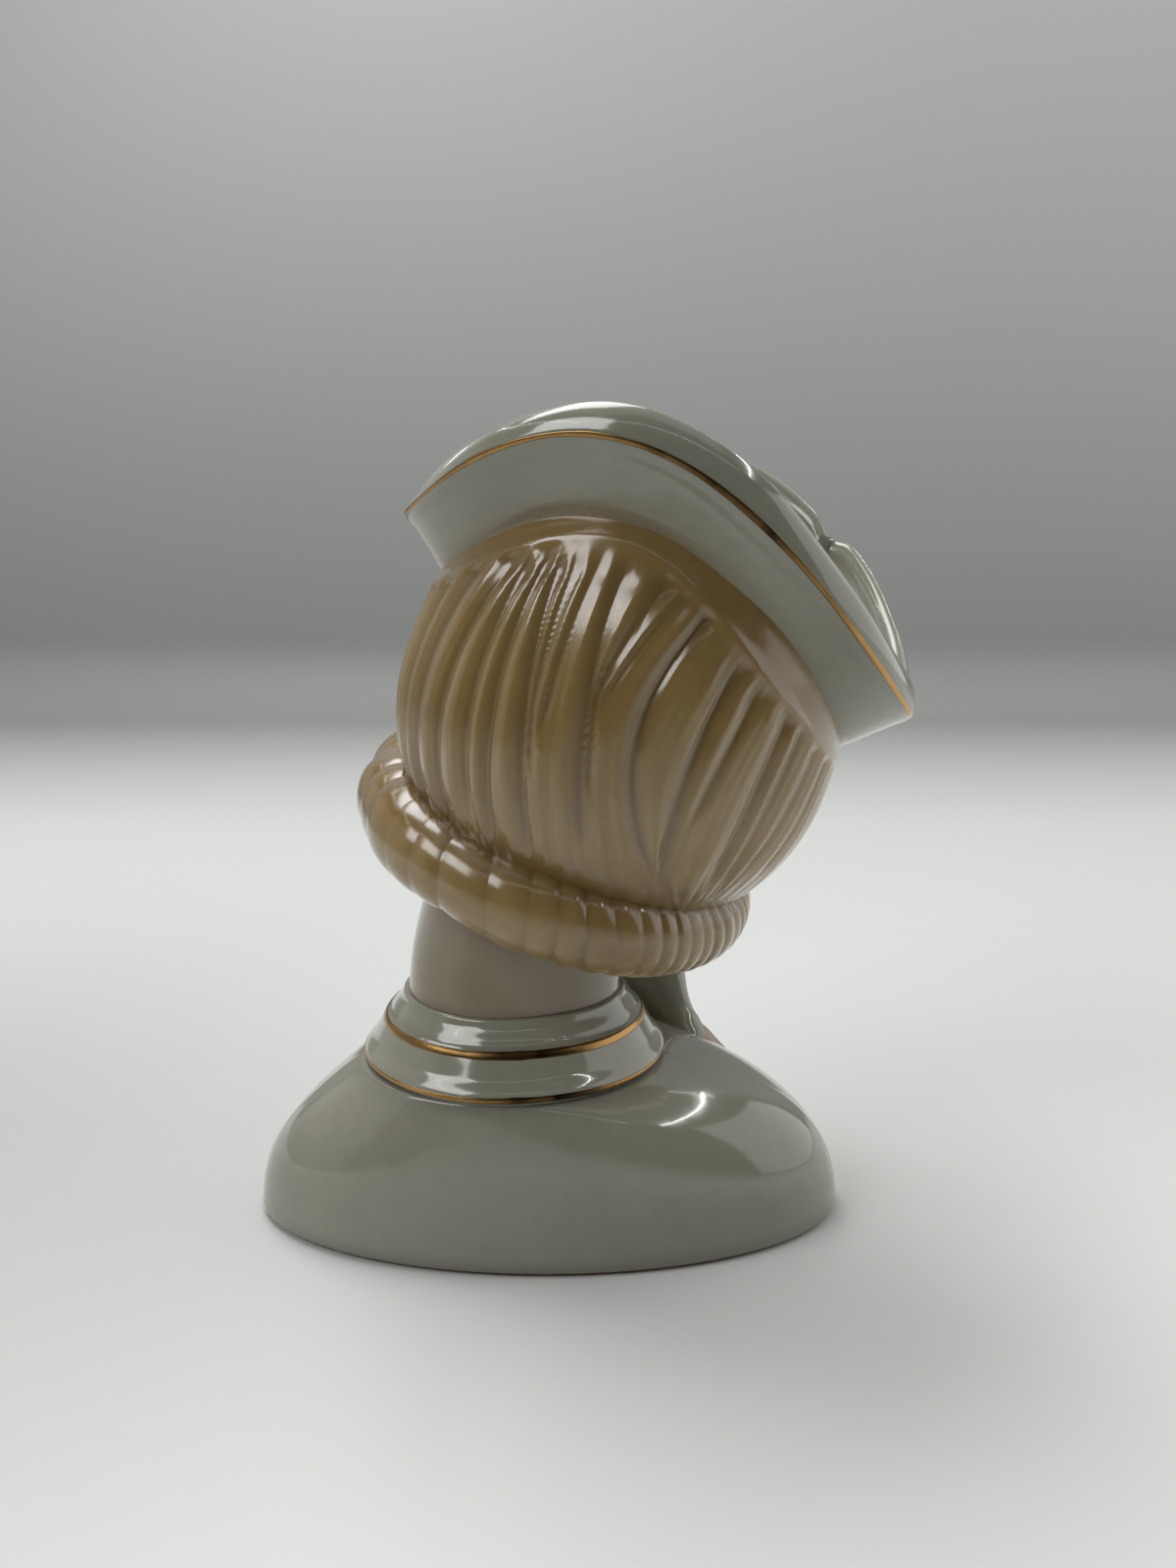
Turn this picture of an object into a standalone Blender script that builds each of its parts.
"""Ceramic lady head vase: one slip-cast, hollow piece, open through the turned-up hat.

Metres, +Z up, the face towards -Y, origin at the middle of the flat underside.
The head has its own frame: side (towards her right), back and up, tilted and leaned back.
Numbers of the carved head are in head units, 1/76 of the head's height from chin to crown.
"""
import math

import bmesh
import bpy
import numpy as np

# Bust and collar
BASE_WIDTH = 0.0998
BASE_DEPTH_BACK = 0.0255
BASE_DEPTH_FRONT = 0.0320
BASE_EDGE_ROUND = 0.0013
BUST_HEIGHT = 0.0272
COLLAR_RADIUS_LOW = 0.0257
COLLAR_RADIUS_HIGH = 0.0221
COLLAR_HEIGHT = 0.0072
COLLAR_FLARE_HEIGHT = 0.0044
COLLAR_FLARE_LOW = 0.0014
COLLAR_FLARE_HIGH = 0.0028
COLLAR_EDGE_STEP = 0.0006
COLLAR_OFFSET_SIDE = -0.0059
COLLAR_OFFSET_BACK = -0.0030

# Neck and head
NECK_RADIUS = 0.0182
NECK_TAPER = 0.0008
NECK_LENGTH = 0.0155
NECK_LEAN = 0.0012
NECK_BEND = 0.0009
NECK_SET_BACK = 0.0006
NECK_FILLET = 0.0004
HEAD_HEIGHT = 0.0760
HEAD_TILT = math.radians(19.0)
HEAD_LEAN_BACK = math.radians(7.0)
HEAD_SHIFT_SIDE = 0.0150
HEAD_SHIFT_BACK = 0.0030
HEAD_RISE = 0.0260

# Hair
HAIR_LOCKS = 22
LOCK_PITCH = math.radians(10.0)
LOCK_DEPTH = 0.0011
ROLL_RADIUS = 0.0075
ROLL_RIB_DEPTH = 0.0007
ROLL_RIB_PITCH = math.radians(14.3)
FRINGE_RADIUS = 0.0034

# Hat
HAT_FLARE = 0.0088
HAT_WALL = 0.0040
HAT_LIP_HEIGHT = 0.0048
HAT_SEAT_DEPTH = 0.0060
HAT_FOLD_TURN = math.radians(138.7)
HAT_FOLD_WIDTH = 0.06

# Hollow inside
WALL = 0.0042
FLOOR = 0.0040
MOUTH_HALF_WIDTH = 0.0235
MOUTH_HALF_DEPTH = 0.0185

# Gloved hand and forearm
GLOVE_WIDTH = 0.0165
GLOVE_THICKNESS = 0.0100
WRIST_RADIUS = 0.0042
FINGER_RADIUS = 0.0028
FOREARM_RADIUS = 0.0048
WRIST_SIDE = -0.0245
WRIST_BACK = -0.0195
WRIST_DROP = 0.0030
ELBOW_SIDE = -0.0345
ELBOW_BACK = -0.0165
ELBOW_HEIGHT = 0.0100

UNIT = HEAD_HEIGHT / 76.0
AXIS_X = np.array([1.0, 0.0, 0.0])
AXIS_Y = np.array([0.0, 1.0, 0.0])
AXIS_Z = np.array([0.0, 0.0, 1.0])


def ease(edge_low, edge_high, value):
    """Smooth step from 0 to 1 between two edges."""
    share = np.clip((value - edge_low) / (edge_high - edge_low), 0.0, 1.0)
    return share * share * (3.0 - 2.0 * share)


def bump(value, middle, width):
    """Bell curve of height 1."""
    return np.exp(-((value - middle) / width) ** 2)


def angles(count):
    """Evenly spaced turns, from the back round her right side."""
    return np.linspace(0.0, 2.0 * math.pi, count, endpoint=False)


def head_axes():
    """Side, back and up of the tilted head, as unit vectors."""
    side = -math.cos(HEAD_TILT) * AXIS_X - math.sin(HEAD_TILT) * AXIS_Z
    upright = -math.sin(HEAD_TILT) * AXIS_X + math.cos(HEAD_TILT) * AXIS_Z
    back = math.cos(HEAD_LEAN_BACK) * AXIS_Y - math.sin(HEAD_LEAN_BACK) * upright
    up = math.cos(HEAD_LEAN_BACK) * upright + math.sin(HEAD_LEAN_BACK) * AXIS_Y
    return side, back, up


SIDE, BACK, UP = head_axes()
COLLAR_TOP = BUST_HEIGHT + COLLAR_HEIGHT + COLLAR_FLARE_HEIGHT
NECK_TOP = COLLAR_TOP + NECK_LENGTH
HEAD_CENTRE = np.array([
    -COLLAR_OFFSET_SIDE - HEAD_SHIFT_SIDE,
    COLLAR_OFFSET_BACK + HEAD_SHIFT_BACK,
    NECK_TOP + HEAD_RISE,
])


def head_point(side, back, up):
    """World place of head coordinates given in head units."""
    side, back, up = np.broadcast_arrays(side, back, up)
    local = side[..., None] * SIDE + back[..., None] * BACK + up[..., None] * UP
    return HEAD_CENTRE + UNIT * local


def add_mesh(name, points, faces, collection):
    mesh = bpy.data.meshes.new(name)
    mesh.from_pydata([tuple(point) for point in points], [], faces)
    mesh.update()
    obj = bpy.data.objects.new(name, mesh)
    collection.objects.link(obj)
    return obj


def loft(name, rings, collection):
    """Closed skin over rings of equal count, with a fan of faces over each end."""
    rings = np.asarray(rings)
    ring_count, count = rings.shape[:2]
    points = list(rings.reshape(-1, 3))
    points.append(rings[0].mean(axis=0))
    points.append(rings[-1].mean(axis=0))
    low_pole = ring_count * count
    high_pole = low_pole + 1
    last = (ring_count - 1) * count
    faces = []
    for level in range(ring_count - 1):
        for step in range(count):
            a = level * count + step
            b = level * count + (step + 1) % count
            faces.append((a, b, b + count, a + count))
    for step in range(count):
        following = (step + 1) % count
        faces.append((low_pole, following, step))
        faces.append((high_pole, last + step, last + following))
    obj = add_mesh(name, points, faces, collection)
    weld(obj)
    return obj


def weld(obj):
    """Close seams and poles, and turn every face outwards."""
    mesh = bmesh.new()
    mesh.from_mesh(obj.data)
    bmesh.ops.remove_doubles(mesh, verts=mesh.verts, dist=0.00001)
    bmesh.ops.recalc_face_normals(mesh, faces=mesh.faces)
    mesh.to_mesh(obj.data)
    mesh.free()


def bust_half_width(height):
    """Shoulder outline: a soft dome that falls to the collar."""
    share = np.clip(height / BUST_HEIGHT, 0.0, 1.0)
    return (1.0 - share ** 2.3) ** (1.0 / 1.35)


def bust_ring(height, turn, inset=0.0, level=None):
    """Oval of the bust at a height, its middle sliding over to the collar's."""
    fall = bust_half_width(height)
    slide = np.clip(height / BUST_HEIGHT, 0.0, 1.0) ** 8.0
    tuck = BASE_EDGE_ROUND * max(0.0, 1.0 - height / BASE_EDGE_ROUND) ** 2
    neck = COLLAR_RADIUS_LOW - COLLAR_EDGE_STEP
    half_width = neck + (BASE_WIDTH / 2.0 - neck) * fall - inset - tuck
    deep_back = neck + COLLAR_OFFSET_BACK
    deep_back = deep_back + (BASE_DEPTH_BACK - deep_back) * fall - inset - tuck
    deep_front = neck - COLLAR_OFFSET_BACK
    deep_front = deep_front + (BASE_DEPTH_FRONT - deep_front) * fall - inset - tuck
    depth = np.where(np.cos(turn) > 0.0, deep_back, deep_front)
    centre = np.array([-COLLAR_OFFSET_SIDE * slide, 0.0, height if level is None else level])
    return (centre - np.outer(half_width * np.sin(turn), AXIS_X)
            + np.outer(depth * np.cos(turn), AXIS_Y))


def round_ring(centre, radius, turn):
    """Level circle about a point."""
    return (centre - np.outer(radius * np.sin(turn), AXIS_X)
            + np.outer(radius * np.cos(turn), AXIS_Y))


def collar_centre(height):
    return np.array([-COLLAR_OFFSET_SIDE, COLLAR_OFFSET_BACK, height])


def neck_centre(height):
    """Middle of the neck, which leans over towards the head."""
    share = max(0.0, (height - COLLAR_TOP) / NECK_LENGTH)
    lean = np.array([-NECK_LEAN * share - NECK_BEND * share ** 2, NECK_SET_BACK * share, 0.0])
    return collar_centre(height) + lean


def bust_rings(turn):
    rings = []
    for share in (0.0, 0.05, 0.16, 0.30, 0.45, 0.60, 0.73, 0.84, 0.92, 0.97, 1.0):
        rings.append(bust_ring(share * BUST_HEIGHT, turn))
    edge_low = BUST_HEIGHT + COLLAR_EDGE_STEP
    edge_high = BUST_HEIGHT + COLLAR_HEIGHT
    collar = (
        (edge_low, COLLAR_RADIUS_LOW),
        (edge_high, COLLAR_RADIUS_HIGH),
        (edge_high + 0.35 * COLLAR_FLARE_HEIGHT, COLLAR_RADIUS_HIGH - COLLAR_FLARE_LOW),
        (edge_high + 0.75 * COLLAR_FLARE_HEIGHT, COLLAR_RADIUS_HIGH - COLLAR_FLARE_HIGH),
        (COLLAR_TOP, NECK_RADIUS + NECK_FILLET),
    )
    for height, radius in collar:
        rings.append(round_ring(collar_centre(height), radius, turn))
    for share in (0.25, 1.0, 1.6, 2.1):
        height = COLLAR_TOP + share * NECK_LENGTH
        radius = NECK_RADIUS - NECK_TAPER * share
        rings.append(round_ring(neck_centre(height), radius, turn))
    return rings


def hair_angles():
    """Three turns to a lock over the back and sides, and wider ones in front."""
    reach = HAIR_LOCKS * LOCK_PITCH / 2.0
    behind = np.linspace(-reach, reach, 3 * HAIR_LOCKS + 1)
    front = np.linspace(reach, 2.0 * math.pi - reach, 14)[1:-1]
    return np.concatenate([behind, front])


def hair_size(up):
    """Half width and back depth of the hair at a height, in head units."""
    above = up > 5.0
    reach = np.where(above, 50.0, 34.0)
    swell = np.sqrt(np.clip(1.0 - ((up - 5.0) / reach) ** 2, 0.04, 1.0))
    return 35.4 * swell, 36.0 * swell


def lock_bend(turn, up):
    """Sideways turn of a lock at a height: straight down the back, over to her right above."""
    bend = 0.30 * ease(6.0, 42.0, up) - 0.26 * np.clip((up + 14.0) / 26.0, 0.0, 1.0)
    return bend * (1.0 - ease(1.5, 2.4, np.abs(np.sin(turn / 2.0)) * 2.6))


def lock_groove(turn, up):
    """Grooves between the locks, which fade out under the hat and into the nape."""
    ridge = 1.0 - np.abs(np.sin(math.pi * (turn / LOCK_PITCH - 0.5 * HAIR_LOCKS))) ** 0.8
    seat = hat_line(0.0, turn)[2]
    reach = HAIR_LOCKS * LOCK_PITCH / 2.0
    behind = 1.0 - ease(0.92 * reach, reach + 0.05, np.abs(turn))
    return ridge * behind * ease(-17.0, -12.0, up) * (1.0 - ease(-4.0, 0.5, up - seat))


def hair_ring(up, turn):
    """Line round the hair at a height; its points follow the locks."""
    half_width, back_depth = hair_size(up)
    around = turn + lock_bend(turn, up)
    groove = LOCK_DEPTH / UNIT * lock_groove(turn, up)
    front_depth = 25.0 * half_width / 35.4 + 8.0 * ease(8.0, 17.0, up)
    deep = np.where(np.cos(around) > 0.0, back_depth, front_depth)
    side = 0.6 + (half_width - groove) * np.sin(around)
    back = (deep - groove) * np.cos(around)
    return head_point(side, back, up + 0.0 * turn)


def hair_rings(turn):
    heights = (-27.0, -22.5, -17.0, -12.0, -8.0, -2.0, 5.0, 11.0, 16.0, 21.0, 26.0, 31.0, 36.0, 40.0)
    return [hair_ring(up, turn) for up in heights]


def roll_path(turn):
    """Middle of the rolled curl that runs round the nape from cheek to cheek."""
    side = -1.2 + (26.8 + 2.6 * ease(1.2, 1.9, -turn)) * np.sin(turn)
    back = -1.0 + 28.0 * np.cos(turn)
    up = -19.2 + 4.0 * ease(1.6, 2.3, np.abs(turn))
    return side, back, up


def roll_rings(count, around):
    turn = np.linspace(-0.69 * math.pi, 0.66 * math.pi, count)
    section = angles(around)
    side, back, up = roll_path(turn)
    ends = np.sqrt(np.clip(1.0 - np.abs(turn / (0.72 * math.pi)) ** 14, 0.05, 1.0))
    fine = ease(-0.6, 0.9, turn)
    rib = np.abs(np.sin(math.pi * turn / ROLL_RIB_PITCH)) ** 0.8 * (0.45 + 0.55 * fine)
    waist = 0.0014 * bump(turn, -1.70, 0.13)
    radius = ends * (ROLL_RADIUS - waist - ROLL_RIB_DEPTH * (1.0 - rib)) / UNIT
    out = np.cos(section)[None, :] * radius[:, None]
    rise = np.sin(section)[None, :] * radius[:, None]
    ring_side = side[:, None] + out * np.sin(turn)[:, None]
    ring_back = back[:, None] + out * np.cos(turn)[:, None]
    return head_point(ring_side, ring_back, up[:, None] + rise)


def fringe_path(turn):
    """Middle of the wave of hair under the front of the hat, dropping to the temples."""
    front = np.clip(-np.cos(turn), 0.0, 1.0)
    side = 0.8 + 31.5 * np.sin(turn)
    back = 0.8 + 32.3 * np.cos(turn)
    drop = 1.6 + 9.0 * (1.0 - ease(0.15, 0.85, front))
    return side, back, hat_line(0.0, turn)[2] - drop


def fringe_rings(count, around):
    turn = np.linspace(1.72, 2.0 * math.pi - 1.72, count)
    section = angles(around)
    side, back, up = fringe_path(turn)
    share = np.linspace(-1.0, 1.0, count)
    radius = np.sqrt(np.clip(1.0 - np.abs(share) ** 5, 0.04, 1.0)) * FRINGE_RADIUS / UNIT
    out = 0.85 * np.cos(section)[None, :] * radius[:, None]
    rise = np.sin(section)[None, :] * radius[:, None]
    ring_side = side[:, None] + out * np.sin(turn)[:, None]
    ring_back = back[:, None] + out * np.cos(turn)[:, None]
    return head_point(ring_side, ring_back, up[:, None] + rise)


def hat_arch(turn, back_rise, front_rise):
    """Rise of the hat's edge: high behind and in front, low at the sides."""
    behind = np.cos(turn + 0.25 * np.cos(turn)) ** 2
    ahead = np.clip(-np.cos(turn), 0.0, 1.0)
    return np.where(np.cos(turn) > 0.0, back_rise * behind, front_rise * ahead)


def hat_fold(turn):
    """Step where the front brim laps over itself, at her front right."""
    before = ease(HAT_FOLD_TURN - 0.55, HAT_FOLD_TURN, turn) * (turn < HAT_FOLD_TURN)
    after = ease(HAT_FOLD_TURN + 0.45, HAT_FOLD_TURN, turn) * (turn >= HAT_FOLD_TURN)
    return 1.3 * before - 1.0 * after, bump(turn, HAT_FOLD_TURN, HAT_FOLD_WIDTH)


def hat_ring(turn, side_up, back_rise, front_rise, sizes):
    """One closed line round the hat, in head units: half width, back and front depth."""
    half_width, deep_back, deep_front, slant = sizes
    deep = np.where(np.cos(turn) > 0.0, deep_back, deep_front)
    side = 1.6 + half_width * np.sin(turn)
    back = deep * np.cos(turn)
    up = side_up + hat_arch(turn, back_rise, front_rise) - slant * side
    return side, back, up


def hat_line(share, turn, drop=0.0, inset=0.0):
    """Line on the hat's outer face, from its seat on the hair (0) to the gold ridge (1)."""
    flare = HAT_FLARE / UNIT * share
    slant = 0.078 - 0.035 * share
    sizes = (34.0 + flare - inset, 26.5 + flare - inset, 35.5 + flare - inset, slant)
    step, notch = hat_fold(turn)
    side_up = 15.4 + 8.2 * share - drop
    back_rise = 21.2 + 3.0 * share
    front_rise = 3.0 + 18.5 * share
    side, back, up = hat_ring(turn, side_up, back_rise, front_rise, sizes)
    side = side + share * step * np.sin(turn)
    back = back + share * step * np.cos(turn)
    return side, back, up - share * 1.6 * notch


def hat_rings(turn):
    """The hat as a filled form: seat, flared band, gold ridge and rounded lip."""
    wall = HAT_WALL / UNIT
    lip = HAT_LIP_HEIGHT / UNIT
    plan = (
        (0.0, HAT_SEAT_DEPTH / UNIT, 5.0),
        (0.0, 0.0, 0.0),
        (0.5, 0.0, 0.0),
        (1.0, 0.0, 0.0),
        (1.0, -0.55 * lip, 0.10 * wall),
        (1.0, -0.92 * lip, 0.35 * wall),
        (1.0, -1.00 * lip, 0.65 * wall),
        (1.0, -0.88 * lip, 0.90 * wall),
    )
    return [head_point(*hat_line(share, turn, drop, inset)) for share, drop, inset in plan]


def face_relief(side, up):
    """How far the features stand out from the egg of the face, in head units."""
    mirror = np.abs(side)
    slope = np.clip((7.0 - up) / 18.0, 0.0, 1.0)
    under = ease(-15.4, -11.6, up)
    nose = (0.8 + 5.6 * slope) * slope ** 0.4 * under * bump(side, 0.0, 2.6 + 1.0 * slope)
    wings = 1.7 * bump(mirror, 3.6, 1.9) * bump(up, -11.8, 2.2)
    socket = -2.6 * bump(mirror, 10.2, 6.0) * bump(up, 1.8, 4.4)
    lid = 2.5 * bump(mirror, 10.4, 4.9) * bump(up, 0.2, 2.8)
    brow = 0.9 * bump(mirror, 10.5, 8.0) * bump(up, 8.6, 2.8)
    cheek = 1.5 * bump(mirror, 14.0, 8.0) * bump(up, -10.5, 7.0)
    width = bump(side, 0.0, 6.6)
    lips = 1.9 * width * (bump(up, -19.9, 1.5) + 1.05 * bump(up, -23.0, 1.7))
    muzzle = 1.2 * bump(side, 0.0, 8.0) * bump(up, -20.5, 6.0)
    dip = -1.2 * bump(side, 0.0, 6.0) * bump(up, -27.0, 1.9)
    chin = 1.9 * bump(side, 0.0, 6.0) * bump(up, -32.0, 3.8)
    return nose + wings + socket + lid + brow + cheek + lips + muzzle + dip + chin


def face_size(up):
    """Half width, front and back of the skin's egg at a height, in head units."""
    fall = np.clip((4.0 - up) / 41.6, 0.0, 1.0)
    half_width = 27.0 * (1.0 - fall ** 2.6) ** 0.62
    front = 33.2 - 6.5 * fall ** 7.0 - 4.0 * ease(6.0, 24.0, up)
    back = 22.0 - 36.0 * fall ** 2.0
    return half_width, front, back


def face_rings(turn):
    chin = (-37.0, -36.0, -34.4, -32.0, -29.6, -27.2)
    mouth = (-25.0, -23.2, -21.5, -19.9, -18.0, -16.0)
    nose = (-14.6, -13.2, -11.6, -9.5, -7.0, -4.0)
    eyes = (-1.6, 0.4, 2.6, 5.4, 8.6, 12.0, 17.0, 21.0)
    rings = []
    for up in chin + mouth + nose + eyes:
        half_width, front, back = face_size(up)
        middle = (back - front) / 2.0
        depth = (back + front) / 2.0
        side = half_width * np.sin(turn)
        ahead = np.clip(-np.cos(turn), 0.0, 1.0) ** 0.5
        deep = middle + depth * np.cos(turn) - face_relief(side, up) * ahead
        rings.append(head_point(side, deep, up + 0.0 * turn))
    return rings


def face_angles():
    """Turns that fall close together over the face."""
    share = np.linspace(-1.0, 1.0, 27)
    front = math.pi * (1.0 + 0.58 * np.sign(share) * np.abs(share) ** 1.5)
    behind = np.linspace(front[-1], front[0] + 2.0 * math.pi, 7)[1:-1]
    return np.concatenate([front, behind])


def limb_rings(stations, around, flat=(1.0, 1.0)):
    """Rings square to a route of stations (point, radius), flattened by two shares."""
    points = np.array([station[0] for station in stations], dtype=float)
    radii = np.array([station[1] for station in stations], dtype=float)
    run = np.gradient(points, axis=0)
    run /= np.linalg.norm(run, axis=1)[:, None]
    across = np.cross(run, AXIS_Y)
    across /= np.linalg.norm(across, axis=1)[:, None]
    over = np.cross(across, run)
    section = angles(around)
    wide = radii[:, None, None] * flat[0] * np.cos(section)[None, :, None] * across[:, None, :]
    thick = radii[:, None, None] * flat[1] * np.sin(section)[None, :, None] * over[:, None, :]
    return points[:, None, :] + wide + thick


def dome_ends(stations, share=0.45):
    """Add a small station past each end, so that a limb ends round."""
    first, last = stations[0], stations[-1]
    run_first = first[0] - stations[1][0]
    run_last = last[0] - stations[-2][0]
    run_first = run_first / np.linalg.norm(run_first)
    run_last = run_last / np.linalg.norm(run_last)
    start = (first[0] + 0.7 * first[1] * run_first, share * first[1])
    finish = (last[0] + 0.7 * last[1] * run_last, share * last[1])
    return [start] + list(stations) + [finish]


def blend(start, finish, share):
    return np.asarray(start) * (1.0 - share) + np.asarray(finish) * share


def wrist_point():
    """The wrist, just above the front of her right shoulder."""
    return np.array([WRIST_SIDE, WRIST_BACK, BUST_HEIGHT - WRIST_DROP])


def knuckle_point():
    """Middle of the knuckles, at the right side of the jaw."""
    return head_point(16.5, -25.5, -36.0)


def palm_stations():
    wrist = wrist_point()
    knuckle = knuckle_point()
    low = blend(wrist, knuckle, -0.12)
    return dome_ends([
        (low, WRIST_RADIUS * 0.95),
        (blend(wrist, knuckle, 0.15), WRIST_RADIUS),
        (blend(wrist, knuckle, 0.45), 0.37 * GLOVE_WIDTH),
        (blend(wrist, knuckle, 0.75), 0.48 * GLOVE_WIDTH),
        (knuckle, 0.50 * GLOVE_WIDTH),
    ])


def finger_stations(index):
    """A finger bent from the knuckles up along the cheek, her first finger in front."""
    spread = index - 1.5
    knuckle = knuckle_point() + UNIT * (spread * 2.2 * BACK - spread * 1.9 * SIDE)
    middle = head_point(20.5 - 2.2 * spread, -24.0 + 3.8 * spread, -27.0 - 1.0 * abs(spread))
    tip = head_point(20.6 - 1.0 * spread, -20.5 + 4.2 * spread, -18.0 - 2.0 * abs(spread))
    return dome_ends([
        (knuckle, FINGER_RADIUS * 1.08),
        (blend(knuckle, middle, 0.6), FINGER_RADIUS * 1.05),
        (middle, FINGER_RADIUS),
        (blend(middle, tip, 0.55), FINGER_RADIUS * 0.95),
        (tip, FINGER_RADIUS * 0.85),
    ])


def thumb_stations():
    """The thumb, laid under the jaw towards the chin."""
    root = blend(wrist_point(), knuckle_point(), 0.55)
    tip = head_point(7.0, -25.0, -38.5)
    middle = blend(root, tip, 0.55) - UNIT * 1.5 * UP
    return dome_ends([
        (root, FINGER_RADIUS * 1.15),
        (middle, FINGER_RADIUS * 1.15),
        (tip, FINGER_RADIUS * 0.9),
    ])


def forearm_stations():
    """The bare forearm, from the chest up to the glove's cuff."""
    wrist = wrist_point()
    elbow = np.array([ELBOW_SIDE, ELBOW_BACK, ELBOW_HEIGHT])
    return dome_ends([
        (elbow, FOREARM_RADIUS * 1.15),
        (blend(elbow, wrist, 0.6), FOREARM_RADIUS),
        (blend(elbow, wrist, 1.05), FOREARM_RADIUS * 0.86),
    ])


def cavity_rings(turn):
    """The hollow: bust, collar, neck, head, the mouth in the hat's floor and the hat."""
    rings = []
    ceiling = BUST_HEIGHT - 1.2 * WALL
    for share in (0.0, 0.35, 0.65, 0.85, 0.96):
        level = FLOOR + share * (ceiling - FLOOR)
        rings.append(bust_ring(share * BUST_HEIGHT, turn, WALL, level))
    bore = NECK_RADIUS - WALL
    throat = (
        (BUST_HEIGHT, COLLAR_RADIUS_LOW - 1.2 * WALL),
        (BUST_HEIGHT + COLLAR_HEIGHT, COLLAR_RADIUS_HIGH - WALL),
        (COLLAR_TOP, bore),
        (NECK_TOP, bore - NECK_TAPER),
    )
    for height, radius in throat:
        rings.append(round_ring(neck_centre(height), radius, turn))
    hollow = (
        (-23.0, 15.7, 15.7, 15.7),
        (-14.0, 25.7, 26.2, 24.2),
        (-3.0, 31.2, 32.2, 26.2),
        (7.0, 31.7, 32.2, 27.2),
    )
    for up, half_width, deep_back, deep_front in hollow:
        half_width = half_width - WALL / UNIT
        deep = np.where(np.cos(turn) > 0.0, deep_back, deep_front) - WALL / UNIT
        rings.append(head_point(half_width * np.sin(turn), deep * np.cos(turn), up + 0.0 * turn))
    side = 1.6 + MOUTH_HALF_WIDTH / UNIT * np.sin(turn)
    back = MOUTH_HALF_DEPTH / UNIT * np.cos(turn)
    seat = hat_line(0.0, turn)[2]
    rings.append(head_point(side, back, 0.85 * seat - 1.0))
    rings.append(head_point(side, back, 0.85 * seat + 1.5))
    wall = HAT_WALL / UNIT
    lip = HAT_LIP_HEIGHT / UNIT
    bowl = (
        (0.0, -2.0, 1.5 * wall),
        (0.5, 0.0, 1.2 * wall),
        (1.0, 0.0, 1.15 * wall),
        (1.0, -0.6 * lip, 1.05 * wall),
        (1.0, -3.0 * lip, 0.95 * wall),
    )
    for share, drop, inset in bowl:
        rings.append(head_point(*hat_line(share, turn, drop, inset)))
    return rings


def clay_material():
    """Glazed pale blue-grey ceramic."""
    material = bpy.data.materials.new("glazed_ceramic")
    material.use_nodes = True
    shader = material.node_tree.nodes["Principled BSDF"]
    shader.inputs["Base Color"].default_value = (0.55, 0.60, 0.61, 1.0)
    shader.inputs["Roughness"].default_value = 0.16
    shader.inputs["Metallic"].default_value = 0.0
    return material


def combine(body, tool, operation):
    """Join or cut with the exact solver; the tool stays as a hidden guide."""
    modifier = body.modifiers.new(tool.name, "BOOLEAN")
    modifier.operation = operation
    modifier.solver = "EXACT"
    modifier.object = tool
    tool.hide_render = True
    tool.display_type = "WIRE"


def build():
    for obj in list(bpy.data.objects):
        bpy.data.objects.remove(obj, do_unlink=True)
    scene = bpy.context.scene
    parts = bpy.data.collections.new("head_vase_part")
    guides = bpy.data.collections.new("cutters")
    scene.collection.children.link(parts)
    scene.collection.children.link(guides)

    body = loft("head_vase", bust_rings(angles(48)), parts)
    joined = [
        loft("face", face_rings(face_angles()), guides),
        loft("hair", hair_rings(hair_angles()), guides),
        loft("nape_roll", roll_rings(72, 10), guides),
        loft("fringe", fringe_rings(22, 8), guides),
        loft("hat", hat_rings(angles(72)), guides),
        loft("palm", limb_rings(palm_stations(), 12, (1.0, GLOVE_THICKNESS / GLOVE_WIDTH)), guides),
        loft("thumb", limb_rings(thumb_stations(), 8), guides),
        loft("forearm", limb_rings(forearm_stations(), 12), guides),
    ]
    for index in range(4):
        joined.append(loft(f"finger_{index + 1}", limb_rings(finger_stations(index), 8), guides))
    hollow = loft("hollow", cavity_rings(angles(32)), guides)
    for tool in joined:
        combine(body, tool, "UNION")
    combine(body, hollow, "DIFFERENCE")

    body.data.materials.append(clay_material())
    body.data.shade_smooth()
    body.data.set_sharp_from_angle(angle=math.radians(40.0))


build()
